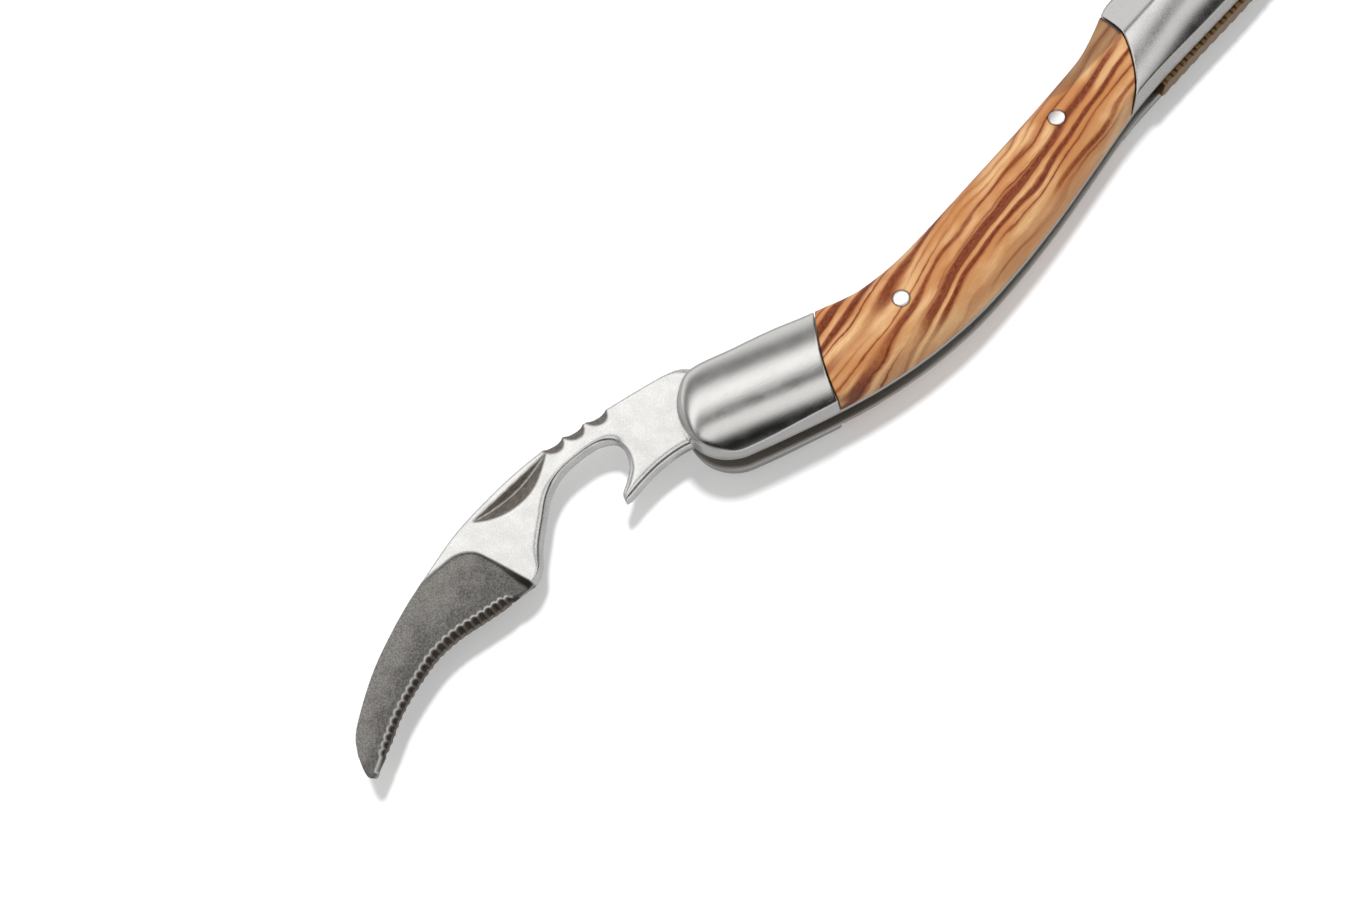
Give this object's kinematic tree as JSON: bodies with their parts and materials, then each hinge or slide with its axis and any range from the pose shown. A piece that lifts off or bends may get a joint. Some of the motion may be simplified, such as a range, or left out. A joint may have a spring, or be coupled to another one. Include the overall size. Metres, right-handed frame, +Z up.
{
  "type": "folding corkscrew knife",
  "caption": "Folding knife with a serrated hawkbill blade and crown-cap notch, a corkscrew worm and a forked boot lever, in a curved wooden handle between steel bolsters.",
  "frame": {"origin": "on the lower wood scale's flat land, 40 mm along +X from the blade pivot and 5.2 mm towards -Y of it", "axes": "+X along the handle from the blade end to the lever end, +Y towards the handle's concave side, +Z up through the thickness"},
  "size_m": [0.2223, 0.0684, 0.0154],
  "materials": {
    "spring_steel": "satin, a little darker than the bolsters",
    "bolster_steel": "fine satin brushed along the handle",
    "olive_wood": "oiled satin olive wood with dark brown streaks",
    "pin_steel": "filed flush and polished",
    "washer_bronze": "plain",
    "blade_steel": "bright satin flats with a darker grainy hollow grind",
    "worm_steel": "polished wire",
    "lever_steel": "satin"
  },
  "bodies": {
    "handle": {"liner_top": "spring_steel", "liner_bottom": "spring_steel", "front_bolster_top": "bolster_steel", "front_bolster_bottom": "bolster_steel", "rear_bolster_top": "bolster_steel", "rear_bolster_bottom": "bolster_steel", "wood_scale_top": "olive_wood", "wood_scale_bottom": "olive_wood", "scale_pin_front": "pin_steel", "scale_pin_rear": "pin_steel", "center_spring": "spring_steel", "rear_spring": "spring_steel", "center_spring_pin": "pin_steel", "rear_spring_pin_front": "pin_steel", "rear_spring_pin_rear": "pin_steel", "blade_pivot_pin": "pin_steel", "worm_pivot_pin": "pin_steel", "lever_pivot_pin": "pin_steel", "blade_washer_top": "washer_bronze", "blade_washer_bottom": "washer_bronze", "worm_washer_top": "washer_bronze", "worm_washer_bottom": "washer_bronze", "lever_washer_top": "washer_bronze", "lever_washer_bottom": "washer_bronze"},
    "blade": {"blade": "blade_steel"},
    "worm": {"worm": "worm_steel"},
    "lever": {"lever": "lever_steel"}
  },
  "joints": [
    {"name": "blade_fold", "type": "hinge", "parent": "handle", "child": "blade", "pos_m": [-0.04, 0.0052, 0.0077], "axis": [0, 0, 1], "range_deg": [0, 174]},
    {"name": "worm_fold", "type": "hinge", "parent": "handle", "child": "worm", "pos_m": [0.052, 0.0127, 0.0077], "axis": [0, 0, 1], "range_deg": [0, 95]},
    {"name": "lever_fold", "type": "hinge", "parent": "handle", "child": "lever", "pos_m": [0.072, 0.0124, 0.0077], "axis": [0, 0, 1], "range_deg": [0, 165]}
  ]
}
